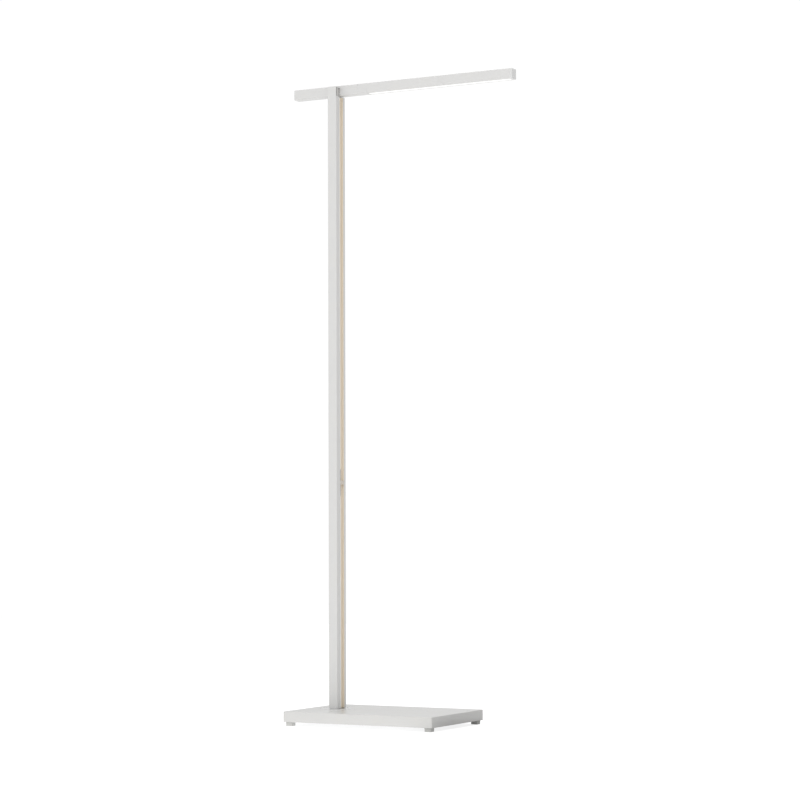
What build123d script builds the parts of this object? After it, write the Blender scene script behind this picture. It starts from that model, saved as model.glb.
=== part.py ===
from build123d import *
import math
import os

os.makedirs("parts", exist_ok=True)

# Driving dimensions, in millimetres. X runs along the arm, Y from front to back, Z up.
# The working frame has its X and Y zero on the axis of the stem, and the floor at Z = 0.

# The foot of the lamp
base_length = 337.0
base_depth = 221.0
base_height = 21.0
base_wall = 2.0
base_corner = 2.0
base_edge = 0.6
stem_from_left = 57.0
stem_behind_middle = 9.0
foot_height = 8.0
foot_size = 15.0
foot_inset = 4.0
foot_edge = 0.8
plate_thick = 1.5
plate_gap = 0.3
weight_inset = 6.0
post_radius = 6.0
post_gap = 1.5

# The turning joint between base and stem
disc_radius = 34.5
disc_gap = 0.5
disc_thick = 6.0
spindle_radius = 7.0
spindle_bore = 4.0
running_clearance = 0.05
bush_wall = 2.0
bush_length = 3.4
thrust_thick = 0.7
thrust_inset = 4.5
thrust_hole_edge = 1.0
nut_wall = 3.5
nut_room_gap = 3.0
nut_thick = 3.6
washer_thick = 0.8
turn_gap = 0.3

# The stem
stem_top = 1300.0
stem_width = 20.0
stem_depth = 36.0
stem_wall = 1.8
window_wall = 0.8
stem_corner = 0.8
channel_front = 6.5
channel_back = 10.5
channel_depth = 4.6
channel_wall = 1.2
side_wall = 1.8
fit_gap = 0.1
strip_thick = 0.8
trim_width = 2.0
trim_reveal = 0.6
trim_to_strip = 0.2
lining_gap = 0.3
plug_length = 30.0
shadow_gap = 0.8

# The arm and its tilting joint
arm_back = 100.0
arm_reach = 403.0
arm_width = 21.0
arm_height = 21.0
arm_rise = 3.0
arm_wall = 1.6
arm_corner = 1.5
arm_cheek_gap = 0.6
tilt_limit = 8.0
notch_clearance = 0.35
cap_thick = 2.4
pin_radius = 2.5
pin_proud = 0.4
clip_thick = 1.1
pin_screw_grip = 6.0
pin_end_gap = 0.4
lug_recess = 0.6
lug_to_arm = 3.6
end_cap_thick = 2.0
end_plug_length = 5.5
pivot_block_length = 24.0
splice_top = 52.0
splice_bottom = 74.0
seam_gap = 0.3
splice_bar_start = 20.0
splice_bar_end = 110.0
splice_bar_height = 7.0
splice_screw_reach = 13.0

# The light
light_start = 75.5
light_end = 397.0
light_width = 14.0
lens_lip = 1.0
lens_flange = 1.0
lens_gap = 0.1
lens_sink = 0.2
board_width = 12.0
board_end_gap = 3.0
board_thick = 1.6
board_height = 6.0
spreader_thick = 4.0
chip_size = 3.0
chip_thick = 0.8
chip_count = 24

# The dimmer
dimmer_height = 487.5
dimmer_travel = 25.0
knob_length = 8.2
knob_proud = 1.2
knob_edge = 0.5
knob_gap = 0.3
shank_width = 2.4
slot_width = 3.2
slot_end_gap = 1.0
pot_extra = 16.0
pot_width = 10.0
pot_depth = 6.5
pot_gap = 1.0

# Leads and the way in for the power cable
lead_radius = 1.5
gland_height = 14.5
gland_radius = 5.0
gland_neck = 4.0
gland_bore = 2.5
gland_flange = 1.5
lead_slot = 8.0
lead_slot_gap = 1.2
lead_bend = 6.0
lead_sweep = 150.0
lead_shift = 60.0
lead_room = 12.0
lead_side = 5.0
lead_gap = 0.3

# Screws
screw_gap = 0.1
socket_share = 0.6
tiny_screw = 1.1
tiny_head = 2.2
plate_screw = 1.2
plate_head = 2.3
small_screw = 1.4
small_head = 2.8
middle_screw = 2.0
middle_head = 3.8
large_screw = 2.5
large_head = 4.8
foot_screw_length = 22.0
foot_screw_sink = 1.5
weight_screw_length = 9.0
stem_screw_length = 26.0
bracket_length = 28.0
bracket_screw_length = 9.0
cap_screw_length = 7.0
cap_screw_x = 5.0
splice_screw_length = 7.0

# Worked-out places
base_left = -stem_from_left
base_right = base_left + base_length
base_front = -base_depth / 2 - stem_behind_middle
base_back = base_front + base_depth
base_top = foot_height + base_height
plate_top = foot_height + plate_thick
weight_top = base_top - disc_thick - turn_gap - thrust_thick
bush_radius = spindle_radius + running_clearance + bush_wall
nut_radius = spindle_radius + nut_wall
nut_room = weight_top - bush_length
base_lead_height = plate_top + lead_radius + lead_gap
weight_back = base_back - weight_inset
half_width = stem_width / 2
half_depth = stem_depth / 2
arm_front_face = half_depth - arm_width
arm_middle = half_depth - arm_width / 2
arm_top = stem_top + arm_rise
arm_bottom = arm_top - arm_height
pivot_height = arm_top - arm_height / 2
tilt = math.radians(tilt_limit)
swept_drop = arm_height / 2 / math.cos(tilt) + half_width * math.tan(tilt)
notch_floor = pivot_height - swept_drop - notch_clearance
cheek_back = arm_front_face - arm_cheek_gap
channel_floor = half_width - channel_depth
whole_middle = (base_front + base_back + gland_flange) / 2
placement = Pos((arm_back - arm_reach) / 2, -whole_middle, 0)


def save(name, *shapes):
    """Moves one solid, or several in a group, to the lamp's own frame and writes them."""
    moved = [placement * shape for shape in shapes]
    whole = moved[0] if len(moved) == 1 else Compound(children=moved)
    export_step(whole, f"parts/{name}.step")


def block(x, y, z):
    """A box from its (low, high) limits along each axis."""
    middle = Pos(sum(x) / 2, sum(y) / 2, sum(z) / 2)
    return middle * Box(x[1] - x[0], y[1] - y[0], z[1] - z[0])


def post(x, y, z, radius):
    """An upright cylinder with its axis at (x, y)."""
    return Pos(x, y, sum(z) / 2) * Cylinder(radius, z[1] - z[0])


def rod(x, y, z, radius):
    """A cylinder along Y with its axis at (x, z)."""
    return Pos(x, sum(y) / 2, z) * Rot(90, 0, 0) * Cylinder(radius, y[1] - y[0])


def screw(length, radius, head):
    """A countersunk screw, its flat head at the origin and its shank going down."""
    sink = head - radius
    cone = Pos(0, 0, -sink / 2) * Cone(radius, head, sink)
    socket = Pos(0, 0, -sink / 2) * extrude(RegularPolygon(radius * socket_share, 6), sink / 2)
    return cone + post(0, 0, (-length, -sink), radius) - socket


def screw_hole(length, radius, head):
    """The hole that a screw of these sizes goes in, a little larger all round."""
    sink = head - radius
    cone = Pos(0, 0, -sink / 2) * Cone(radius + screw_gap, head + screw_gap, sink)
    return cone + post(0, 0, (-length - screw_gap, 0), radius + screw_gap)


def cut_all(shape, tools):
    """The shape with every tool taken out of it."""
    for tool in tools:
        shape = shape - tool
    return shape


def cavity(z, gap=0.0):
    """The hollow of the stem over a height, or the plug that fits it with a gap."""
    left = -half_width + stem_wall + gap
    right = half_width - stem_wall - gap
    inner = channel_floor - channel_wall - gap
    front = -half_depth + stem_wall + gap
    back = half_depth - stem_wall - gap
    front_room = block((left, right), (front, -channel_front - side_wall - gap), z)
    back_room = block((left, right), (channel_back + side_wall + gap, back), z)
    return block((left, inner), (front, back), z) + front_room + back_room


# Foot corners and the screws through them
foot_middle = foot_inset + foot_size / 2
foot_places = {
    "front_left": (base_left + foot_middle, base_front + foot_middle),
    "front_right": (base_right - foot_middle, base_front + foot_middle),
    "back_left": (base_left + foot_middle, base_back - foot_middle),
    "back_right": (base_right - foot_middle, base_back - foot_middle),
}


def foot_screw_spot(x, y):
    """Where a foot's screw sits, head down in the foot."""
    return Pos(x, y, foot_screw_sink) * Rot(180, 0, 0)


# Base cover: a painted steel tray, upside down, with a hole for the turning disc
cover = block((base_left, base_right), (base_front, base_back), (foot_height, base_top))
cover = fillet(cover.edges().filter_by(Axis.Z), base_corner)
cover = chamfer(cover.faces().sort_by(Axis.Z)[-1].edges(), base_edge)
cover_room = block(
    (base_left + base_wall, base_right - base_wall),
    (base_front + base_wall, base_back - base_wall),
    (foot_height - 1, base_top - base_wall),
)
cover = cover - cover_room
cover = cover - post(0, 0, (base_top - base_wall - 1, base_top + 1), disc_radius + disc_gap)
foot_holes = []
for x, y in foot_places.values():
    cover = cover + post(x, y, (plate_top, base_top - base_wall), post_radius)
    hole = screw_hole(foot_screw_length, middle_screw, middle_head)
    foot_holes.append(foot_screw_spot(x, y) * hole)
cover = cut_all(cover, foot_holes)
cover = cover - rod(0, (base_back - base_wall - 1, base_back + 1), gland_height, gland_neck)
save("base_cover", cover)

# Bottom plate, closing the tray
bottom_plate = block(
    (base_left + base_wall + plate_gap, base_right - base_wall - plate_gap),
    (base_front + base_wall + plate_gap, base_back - base_wall - plate_gap),
    (foot_height, plate_top),
)
weight_screw_places = [
    (base_left + base_length * along, base_front + base_depth * deep)
    for along in (0.3, 0.85)
    for deep in (0.2, 0.8)
]
weight_holes = []
for x, y in weight_screw_places:
    hole = screw_hole(weight_screw_length, plate_screw, plate_head)
    weight_holes.append(Pos(x, y, foot_height) * Rot(180, 0, 0) * hole)
bottom_plate = cut_all(bottom_plate, foot_holes + weight_holes)
save("bottom_plate", bottom_plate)
weight_screws = []
for x, y in weight_screw_places:
    piece = screw(weight_screw_length, plate_screw, plate_head)
    weight_screws.append(Pos(x, y, foot_height) * Rot(180, 0, 0) * piece)
save("plate_screws", *weight_screws)

# Steel weight, with room for the nut, the bush and the lead
weight = block(
    (base_left + weight_inset, base_right - weight_inset),
    (base_front + weight_inset, base_back - weight_inset),
    (plate_top, weight_top),
)
weight = weight - post(0, 0, (plate_top - 1, weight_top + 1), bush_radius + fit_gap)
weight = weight - post(0, 0, (plate_top - 1, nut_room), nut_radius + nut_room_gap)
slot_height = base_lead_height + lead_radius + lead_slot_gap
weight = weight - block(
    (-lead_slot / 2, lead_slot / 2), (0, base_back), (plate_top - 1, slot_height)
)
weight = weight - block(
    (-gland_radius, gland_radius), (weight_back - lead_room, base_back), (0, weight_top + 1)
)
for x, y in foot_places.values():
    weight = weight - post(x, y, (plate_top - 1, weight_top + 1), post_radius + post_gap)
    corner_x = base_left if x < base_left + base_length / 2 else base_right
    corner_y = base_front if y < base_front + base_depth / 2 else base_back
    corner = block(
        (min(x, corner_x), max(x, corner_x)),
        (min(y, corner_y), max(y, corner_y)),
        (plate_top - 1, weight_top + 1),
    )
    weight = weight - corner
weight = cut_all(weight, weight_holes)
save("base_weight", weight)

# Four square feet and their screws
foot_screws = []
for name, (x, y) in foot_places.items():
    half = foot_size / 2
    foot = block((x - half, x + half), (y - half, y + half), (0, foot_height))
    foot = chamfer(foot.faces().sort_by(Axis.Z)[0].edges(), foot_edge)
    foot = cut_all(foot, foot_holes)
    well = post(x, y, (-1, foot_screw_sink), middle_head + screw_gap)
    save(f"foot_{name}", foot - well)
    foot_screws.append(foot_screw_spot(x, y) * screw(foot_screw_length, middle_screw, middle_head))
save("foot_screws", *foot_screws)

# Rubber gland in the back wall, where the power cable goes in
wall_in = base_back - base_wall
gland = rod(0, (wall_in, base_back), gland_height, gland_neck - fit_gap / 2)
gland = gland + rod(0, (base_back, base_back + gland_flange), gland_height, gland_radius)
gland = gland + rod(0, (wall_in - gland_flange, wall_in), gland_height, gland_radius)
gland_ends = (wall_in - gland_flange - 1, base_back + gland_flange + 1)
gland = gland - rod(0, gland_ends, gland_height, gland_bore)
save("cable_gland", gland)

# The turning joint: bush and thrust washer stay, disc, spindle, washer and nut turn
bush = post(0, 0, (nut_room, weight_top), bush_radius)
bush = bush - post(0, 0, (nut_room - 1, weight_top + 1), spindle_radius + running_clearance)
save("swivel_bush", bush)
thrust = post(0, 0, (weight_top, weight_top + thrust_thick), disc_radius - thrust_inset)
thrust_hole = post(0, 0, (weight_top - 1, base_top), bush_radius - thrust_hole_edge)
save("thrust_washer", thrust - thrust_hole)

stem_screw_y = spindle_radius + large_head + screw_gap + fit_gap
disc_bottom = base_top - disc_thick
disc = post(0, 0, (disc_bottom, base_top), disc_radius)
disc = disc - post(0, 0, (disc_bottom - 1, base_top + 1), spindle_radius + fit_gap / 2)
stem_holes = []
stem_screws = []
for y in (-stem_screw_y, stem_screw_y):
    place = Pos(0, y, disc_bottom) * Rot(180, 0, 0)
    stem_holes.append(place * screw_hole(stem_screw_length, large_screw, large_head))
    stem_screws.append(place * screw(stem_screw_length, large_screw, large_head))
save("swivel_disc", cut_all(disc, stem_holes))
save("stem_screws", *stem_screws)

washer_top = nut_room - turn_gap
washer_bottom = washer_top - washer_thick
spindle_bottom = washer_bottom - nut_thick
spindle = post(0, 0, (spindle_bottom, base_top), spindle_radius)
save("swivel_spindle", spindle - post(0, 0, (0, base_top + 1), spindle_bore))
washer = post(0, 0, (washer_bottom, washer_top), nut_radius)
save("spindle_washer", washer - post(0, 0, (0, stem_top), spindle_radius + fit_gap / 2))
nut = Pos(0, 0, spindle_bottom) * extrude(RegularPolygon(nut_radius, 6), nut_thick)
save("spindle_nut", nut - post(0, 0, (0, stem_top), spindle_radius + fit_gap / 2))

# Stem foot plug, which the two stem screws pull down on the disc
foot_plug = cavity((base_top, base_top + plug_length), fit_gap)
foot_plug = foot_plug - post(0, 0, (base_top - 1, base_top + plug_length + 1), spindle_bore)
save("stem_foot_plug", cut_all(foot_plug, stem_holes))

# Stem: one extruded tube with a shallow channel down its right side. Its foot plug carries it,
# and a narrow shadow gap is left between the tube and the disc.
channel_middle = (channel_back - strip_thick - channel_front + trim_reveal + trim_width) / 2
slot_reach = dimmer_travel + shank_width / 2 + slot_end_gap
dimmer_slot = block(
    (channel_floor - channel_wall - 1, half_width + 1),
    (channel_middle - slot_width / 2, channel_middle + slot_width / 2),
    (dimmer_height - slot_reach, dimmer_height + slot_reach),
)
bracket_screw_places = (notch_floor - bracket_length / 4, notch_floor - bracket_length * 0.7)
bracket_holes = []
bracket_screws = []
for z in bracket_screw_places:
    place = Pos(-half_width, -half_depth / 2, z) * Rot(0, -90, 0)
    bracket_holes.append(place * screw_hole(bracket_screw_length, small_screw, small_head))
    bracket_screws.append(place * screw(bracket_screw_length, small_screw, small_head))

stem_bottom = base_top + shadow_gap
stem = block((-half_width, half_width), (-half_depth, half_depth), (stem_bottom, stem_top))
stem = fillet(stem.edges().filter_by(Axis.Z), stem_corner)
stem = stem - cavity((base_top - 1, stem_top + 1))
stem = stem - block(
    (channel_floor, half_width + 1), (-channel_front, channel_back), (base_top - 1, stem_top + 1)
)
stem = stem - block(
    (-half_width - 1, half_width + 1), (cheek_back, half_depth + 1), (notch_floor, stem_top + 1)
)
window = block(
    (-half_width + stem_wall, half_width + 1),
    (-half_depth + window_wall, cheek_back + 1),
    (notch_floor, stem_top + 1),
)
stem = cut_all(stem - window - dimmer_slot, bracket_holes)
save("stem_extrusion", stem)

# Channel lining: a bright trim along the front edge and a bronze strip behind it
lining_height = (stem_bottom + lining_gap, notch_floor - lining_gap)
trim_front = -channel_front + trim_reveal
trim = block((channel_floor, half_width), (trim_front, trim_front + trim_width), lining_height)
save("channel_trim", trim)
strip_front = trim_front + trim_width + trim_to_strip
strip_back = channel_back - fit_gap
strip = block(
    (channel_floor, channel_floor + strip_thick), (strip_front, strip_back), lining_height
)
strip = strip + block(
    (channel_floor, half_width - fit_gap), (strip_back - strip_thick, strip_back), lining_height
)
save("channel_strip", strip - dimmer_slot)

# Dimmer: a knob that slides in the channel, and the slide potentiometer behind it
knob = block(
    (channel_floor + strip_thick + knob_gap, half_width + knob_proud),
    (strip_front + knob_gap, strip_back - strip_thick - knob_gap),
    (dimmer_height - knob_length / 2, dimmer_height + knob_length / 2),
)
knob = chamfer(knob.faces().sort_by(Axis.X)[-1].edges(), knob_edge)
pot_face = channel_floor - channel_wall - pot_gap
shank = block(
    (pot_face + knob_gap, channel_floor + strip_thick + knob_gap),
    (channel_middle - shank_width / 2, channel_middle + shank_width / 2),
    (dimmer_height - shank_width / 2, dimmer_height + shank_width / 2),
)
save("dimmer_slider", knob + shank)
pot_reach = dimmer_travel + pot_extra
pot = block(
    (pot_face - pot_depth, pot_face),
    (channel_middle - pot_width / 2, channel_middle + pot_width / 2),
    (dimmer_height - pot_reach, dimmer_height + pot_reach),
)
save("dimmer_pot", pot)

# Hinge bracket: a plug in the stem's top with an upright lug for the pin
lug_back = arm_front_face - lug_to_arm
lug_front = -half_depth + stem_wall + pin_end_gap + pin_proud + clip_thick + turn_gap
cap_bottom = stem_top - cap_thick
bracket = cavity((notch_floor - bracket_length, notch_floor), fit_gap)
bracket = bracket + block(
    (-half_width + stem_wall + fit_gap, half_width - lug_recess),
    (lug_front, lug_back),
    (notch_floor, cap_bottom),
)
bracket = bracket - rod(
    0, (lug_front - 1, lug_back + 1), pivot_height, pin_radius + running_clearance
)
lead_x = -lead_side
lead_y = -half_depth + stem_wall + lead_radius + lead_gap
lead_notch = block(
    (lead_x - lead_radius - lead_gap, lead_x + lead_radius + lead_gap),
    (-half_depth, lead_y + lead_radius + lead_gap),
    (notch_floor - bracket_length - 1, notch_floor + 1),
)
cap_screw_y = (lug_front + lug_back) / 2
cap_holes = []
cap_screws = []
for x in (-cap_screw_x, cap_screw_x):
    place = Pos(x, cap_screw_y, stem_top)
    cap_holes.append(place * screw_hole(cap_screw_length, tiny_screw, tiny_head))
    cap_screws.append(place * screw(cap_screw_length, tiny_screw, tiny_head))
save("hinge_bracket", cut_all(bracket - lead_notch, bracket_holes + cap_holes))
save("bracket_screws", *bracket_screws)
head_cap = block(
    (-half_width + stem_wall + fit_gap, half_width),
    (-half_depth + window_wall + fit_gap, cheek_back),
    (cap_bottom, stem_top),
)
save("head_cap", cut_all(head_cap, cap_holes))
save("cap_screws", *cap_screws)

# Leads: one from the gland to the spindle, one up the stem to the head
lead_meet = base_top - 1.0
lead_start = weight_back - lead_room
base_route = FilletPolyline(
    (0, lead_start, base_lead_height),
    (0, 0, base_lead_height),
    (0, 0, lead_meet),
    radius=lead_bend,
)
base_lead = sweep(Plane(base_route @ 0, z_dir=base_route % 0) * Circle(lead_radius), base_route)
save("base_lead", base_lead)
lead_rise = base_top + plug_length + lead_room
stem_route = FilletPolyline(
    (0, 0, lead_meet + 0.5),
    (0, 0, lead_rise),
    (lead_x, lead_y, lead_rise + lead_shift),
    (lead_x, lead_y, notch_floor - lead_gap),
    radius=lead_sweep,
)
stem_lead = sweep(Plane(stem_route @ 0, z_dir=stem_route % 0) * Circle(lead_radius), stem_route)
save("stem_lead", stem_lead)

# Pin joint: pin, clip, washer and screw, all turning with the arm
clip_front = lug_front - turn_gap - clip_thick
pin_front = clip_front - pin_proud
pin_back = arm_middle
pin = rod(0, (pin_front, pin_back), pivot_height, pin_radius)
screw_back = Pos(0, half_depth, pivot_height) * Rot(-90, 0, 0)
pivot_screw_length = half_depth - pin_back + pin_screw_grip
pivot_hole = screw_back * screw_hole(pivot_screw_length, small_screw, small_head)
save("hinge_pin", pin - pivot_hole)
save("pivot_screw", screw_back * screw(pivot_screw_length, small_screw, small_head))
collar_radius = cap_bottom - pivot_height - turn_gap
clip = rod(0, (clip_front, lug_front - turn_gap), pivot_height, collar_radius)
save("pin_clip", clip - rod(0, (-stem_depth, stem_depth), pivot_height, pin_radius + fit_gap / 2))
washer_span = (lug_back + turn_gap, arm_front_face)
friction = rod(0, washer_span, pivot_height, collar_radius)
bore = rod(0, (-stem_depth, stem_depth), pivot_height, pin_radius + fit_gap / 2)
save("friction_washer", friction - bore)


def tube(x):
    """A length of the arm's square tube, closed all round and open at both ends."""
    outside = block(x, (arm_front_face, half_depth), (arm_bottom, arm_top))
    outside = fillet(outside.edges().filter_by(Axis.X), arm_corner)
    inside = block(
        (x[0] - 1, x[1] + 1),
        (arm_front_face + arm_wall, half_depth - arm_wall),
        (arm_bottom + arm_wall, arm_top - arm_wall),
    )
    return outside - inside


def tube_fill(x, z=None):
    """A piece that fits inside the arm's tube with a small gap."""
    low = arm_bottom + arm_wall + fit_gap
    high = arm_top - arm_wall - fit_gap
    across_y = (arm_front_face + arm_wall + fit_gap, half_depth - arm_wall - fit_gap)
    return block(x, across_y, z or (low, high))


# Splice screws go in from the arm's top
splice_holes = []
splice_screws = []
for x in (splice_top - splice_screw_reach, splice_bottom + splice_screw_reach):
    place = Pos(x, arm_middle, arm_top)
    splice_holes.append(place * screw_hole(splice_screw_length, small_screw, small_head))
    splice_screws.append(place * screw(splice_screw_length, small_screw, small_head))
save("splice_screws", *splice_screws)

# Arm carrier: the closed back part of the arm, stepped where the light begins
upper = (pivot_height, arm_top + 1)
lower = (arm_bottom - 1, pivot_height)
all_y = (arm_front_face - 1, half_depth + 1)
carrier = tube((-arm_back + end_cap_thick, splice_bottom))
carrier = carrier - block((splice_top, splice_bottom + 1), all_y, upper)
carrier = carrier - rod(
    0, (arm_front_face - 1, arm_middle), pivot_height, pin_radius + fit_gap / 2
)
carrier = cut_all(carrier - pivot_hole, splice_holes)
save("arm_carrier", carrier)

# Pivot block inside the carrier, around the pin
pivot_block = tube_fill((-pivot_block_length / 2, splice_bar_start - fit_gap))
pivot_block = pivot_block - rod(
    0, (arm_front_face, pin_back), pivot_height, pin_radius + fit_gap / 2
)
save("pivot_block", pivot_block - pivot_hole)

# Splice bar, which joins the carrier to the light's housing
bar_top = arm_top - arm_wall - fit_gap
splice_bar = tube_fill((splice_bar_start, splice_bar_end), (bar_top - splice_bar_height, bar_top))
save("splice_bar", cut_all(splice_bar, splice_holes))

# Light housing: the same tube, with a long opening in its underside
housing = tube((splice_top + seam_gap, arm_reach - end_cap_thick))
housing = housing - block((splice_top - 1, splice_bottom + seam_gap), all_y, lower)
light_y = (arm_middle - light_width / 2, arm_middle + light_width / 2)
light_opening = block(
    (light_start, light_end), light_y, (arm_bottom - 1, arm_bottom + arm_wall + 1)
)
save("led_housing", cut_all(housing - light_opening, splice_holes))

# Opal lens, its flange lying on the lips inside
lens_x = (light_start + lens_gap, light_end - lens_gap)
lens = block(
    lens_x, (light_y[0] + lens_gap, light_y[1] - lens_gap), (arm_bottom + lens_sink, arm_bottom + arm_wall)
)
lens = lens + block(
    lens_x,
    (light_y[0] - lens_lip, light_y[1] + lens_lip),
    (arm_bottom + arm_wall, arm_bottom + arm_wall + lens_flange),
)
save("led_diffuser", lens)

# Light source: spreader bar, circuit board and its row of emitters
board_x = (splice_bar_end + board_end_gap, light_end - board_end_gap)
board_y = (arm_middle - board_width / 2, arm_middle + board_width / 2)
board_bottom = arm_bottom + board_height
spreader_bottom = board_bottom + board_thick
save("led_board", block(board_x, board_y, (board_bottom, spreader_bottom)))
save("heat_spreader", tube_fill(board_x, (spreader_bottom, spreader_bottom + spreader_thick)))
pitch = (board_x[1] - board_x[0]) / chip_count
chips = []
for index in range(chip_count):
    x = board_x[0] + pitch * (index + 0.5)
    chip = block(
        (x - chip_size / 2, x + chip_size / 2),
        (arm_middle - chip_size / 2, arm_middle + chip_size / 2),
        (board_bottom - chip_thick, board_bottom),
    )
    chips.append(chip)
save("led_chips", *chips)


def end_cap(x, inward):
    """A flat cap on the arm's end with a plug that goes inward."""
    outer = block(
        (min(x, x + inward * end_cap_thick), max(x, x + inward * end_cap_thick)),
        (arm_front_face, half_depth),
        (arm_bottom, arm_top),
    )
    outer = fillet(outer.edges().filter_by(Axis.X), arm_corner)
    start = x + inward * end_cap_thick
    stop = start + inward * (end_plug_length - end_cap_thick)
    return outer + tube_fill((min(start, stop), max(start, stop)))


save("arm_back_cap", end_cap(-arm_back, 1))
save("arm_front_cap", end_cap(arm_reach, -1))
print("pivot height", round(pivot_height, 2), "notch floor", round(notch_floor, 2))
print("stem axis in the lamp frame", placement.position)
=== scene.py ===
# %% [markdown]
# # A slim reading lamp with a tilting light bar
# The lamp is a low rectangular foot, a flat stem with a channel down one side, and a square bar
# at its head with the light in its underside. The stem turns on the foot, the bar tilts and the
# dimmer's knob slides. The mechanical model is loaded first and stays where it is. The visible
# pieces that gain from softer edges and finer detail are then worked out as surfaces, and every
# piece gets a finish of its own.

# %% Load the frame
import math

import bpy
import numpy as np
from mathutils import Matrix, Vector


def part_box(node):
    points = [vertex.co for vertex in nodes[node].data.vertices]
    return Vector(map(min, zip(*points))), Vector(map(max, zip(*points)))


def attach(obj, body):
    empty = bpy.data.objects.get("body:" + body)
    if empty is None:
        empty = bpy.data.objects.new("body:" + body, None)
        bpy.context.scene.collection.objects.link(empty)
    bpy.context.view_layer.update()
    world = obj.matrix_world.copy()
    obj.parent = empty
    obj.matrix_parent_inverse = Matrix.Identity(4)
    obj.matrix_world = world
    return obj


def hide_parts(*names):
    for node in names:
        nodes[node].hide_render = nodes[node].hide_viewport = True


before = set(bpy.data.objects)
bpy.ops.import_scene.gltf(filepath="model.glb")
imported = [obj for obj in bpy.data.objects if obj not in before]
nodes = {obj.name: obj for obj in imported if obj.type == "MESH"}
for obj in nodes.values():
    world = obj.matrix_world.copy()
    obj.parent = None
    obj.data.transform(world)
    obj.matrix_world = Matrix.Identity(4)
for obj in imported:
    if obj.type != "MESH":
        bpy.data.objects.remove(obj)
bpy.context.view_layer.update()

mm = 0.001


# %% [markdown]
# ## Where things are
# The stem's axis and the levels of the foot are read from the boxes of the model's own nodes, so
# that every new piece lands where the mechanical one is.

# %% Main places
def limits(node):
    """Lowest and highest corner of a node as two numpy arrays, in metres."""
    low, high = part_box(node)
    return np.array(low), np.array(high)


stem_low, stem_high = limits("stem_extrusion")
stem_x, stem_y = (stem_low[:2] + stem_high[:2]) / 2
base_low, base_high = limits("base_cover")
arm_low, _ = limits("arm_carrier")
print("stem axis", round(stem_x, 4), round(stem_y, 4), "base top", round(base_high[2], 4))


# %% [markdown]
# ## Grids of points
# Almost every piece here is a stack of closed outlines: a cap is a square that grows, rounds over
# and closes in the middle, and a screw is a circle that changes its radius. An outline is a
# column of points, and the stack is a grid of rows and columns that is joined into four-sided
# faces. One function does that for all of them.

# %% Outlines and the grid
def grid_mesh(name, grid, loop_rows=False):
    """Joins a grid of points, rows x columns x 3, whose columns close on themselves.

    The rows close on themselves too where loop_rows is true. Otherwise the first and the last
    row are closed with a fan round their own middle.
    """
    rows, columns, _ = grid.shape
    points = grid.reshape(-1, 3)
    index = np.arange(rows * columns).reshape(rows, columns)
    near = index if loop_rows else index[:-1]
    far = np.roll(index, -1, axis=0) if loop_rows else index[1:]
    quads = np.stack([near, np.roll(near, -1, axis=1), np.roll(far, -1, axis=1), far], axis=-1)
    faces = quads.reshape(-1, 4).tolist()
    if not loop_rows:
        middles = np.stack([grid[0].mean(axis=0), grid[-1].mean(axis=0)])
        first, last = len(points), len(points) + 1
        points = np.concatenate([points, middles])
        low, high = index[0], index[-1]
        start = np.stack([np.roll(low, -1), low, np.full(columns, first)], axis=-1)
        end = np.stack([high, np.roll(high, -1), np.full(columns, last)], axis=-1)
        faces += start.tolist() + end.tolist()
    mesh = bpy.data.meshes.new(name)
    mesh.from_pydata(points.tolist(), [], faces)
    mesh.update()
    return mesh


def outward(mesh):
    """Turns the faces round where the closed mesh's signed volume says that they point in."""
    mesh.calc_loop_triangles()
    triangles = np.empty(len(mesh.loop_triangles) * 3, dtype=np.int64)
    mesh.loop_triangles.foreach_get("vertices", triangles)
    points = np.empty(len(mesh.vertices) * 3)
    mesh.vertices.foreach_get("co", points)
    corner = points.reshape(-1, 3)[triangles.reshape(-1, 3)]
    corner = corner - corner.mean(axis=(0, 1))
    volume = np.einsum("ij,ij->i", corner[:, 0], np.cross(corner[:, 1], corner[:, 2])).sum() / 6
    if volume < 0:
        mesh.flip_normals()
    return abs(volume)


def merge(meshes, name):
    """Several meshes as one, with their faces kept apart."""
    points = []
    faces = []
    for mesh in meshes:
        start = len(points)
        points.extend(tuple(vertex.co) for vertex in mesh.vertices)
        faces.extend(tuple(start + i for i in face.vertices) for face in mesh.polygons)
        bpy.data.meshes.remove(mesh)
    whole = bpy.data.meshes.new(name)
    whole.from_pydata(points, [], faces)
    whole.update()
    return whole


def outline(half_x, half_y, radius, columns):
    """A rectangle with round corners, as columns points at even steps along its edge.

    The outline is the inner rectangle's corners moved out by the radius: the straight runs join
    four quarter circles, and each point is found by its distance along the whole.
    """
    runs = np.array([2 * (half_y - radius), 2 * (half_x - radius)] * 2)
    arc = math.pi / 2 * radius
    marks = np.concatenate([[0], np.cumsum(np.stack([runs, np.full(4, arc)], axis=1).ravel())])
    away = (np.arange(columns) + 0.5) / columns * marks[-1]
    piece = np.clip(np.searchsorted(marks, away, side="right") - 1, 0, 7)
    along = away - marks[piece]
    side = piece // 2
    facing = side * math.pi / 2
    normal = np.stack([np.cos(facing), np.sin(facing)], axis=1)
    ahead = np.stack([-np.sin(facing), np.cos(facing)], axis=1)
    depth = np.where(side % 2 == 0, half_x, half_y)
    reach = np.where(side % 2 == 0, half_y, half_x) - radius
    straight = normal * depth[:, None] + ahead * (along - reach)[:, None]
    turn = facing + along / max(radius, 1e-9)
    centre = normal * (depth - radius)[:, None] + ahead * reach[:, None]
    bend = centre + radius * np.stack([np.cos(turn), np.sin(turn)], axis=1)
    return np.where((piece % 2 == 0)[:, None], straight, bend)


def level(flat, height):
    """A flat outline as a row of the grid at a height."""
    return np.column_stack([flat, np.full(len(flat), height)])


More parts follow.
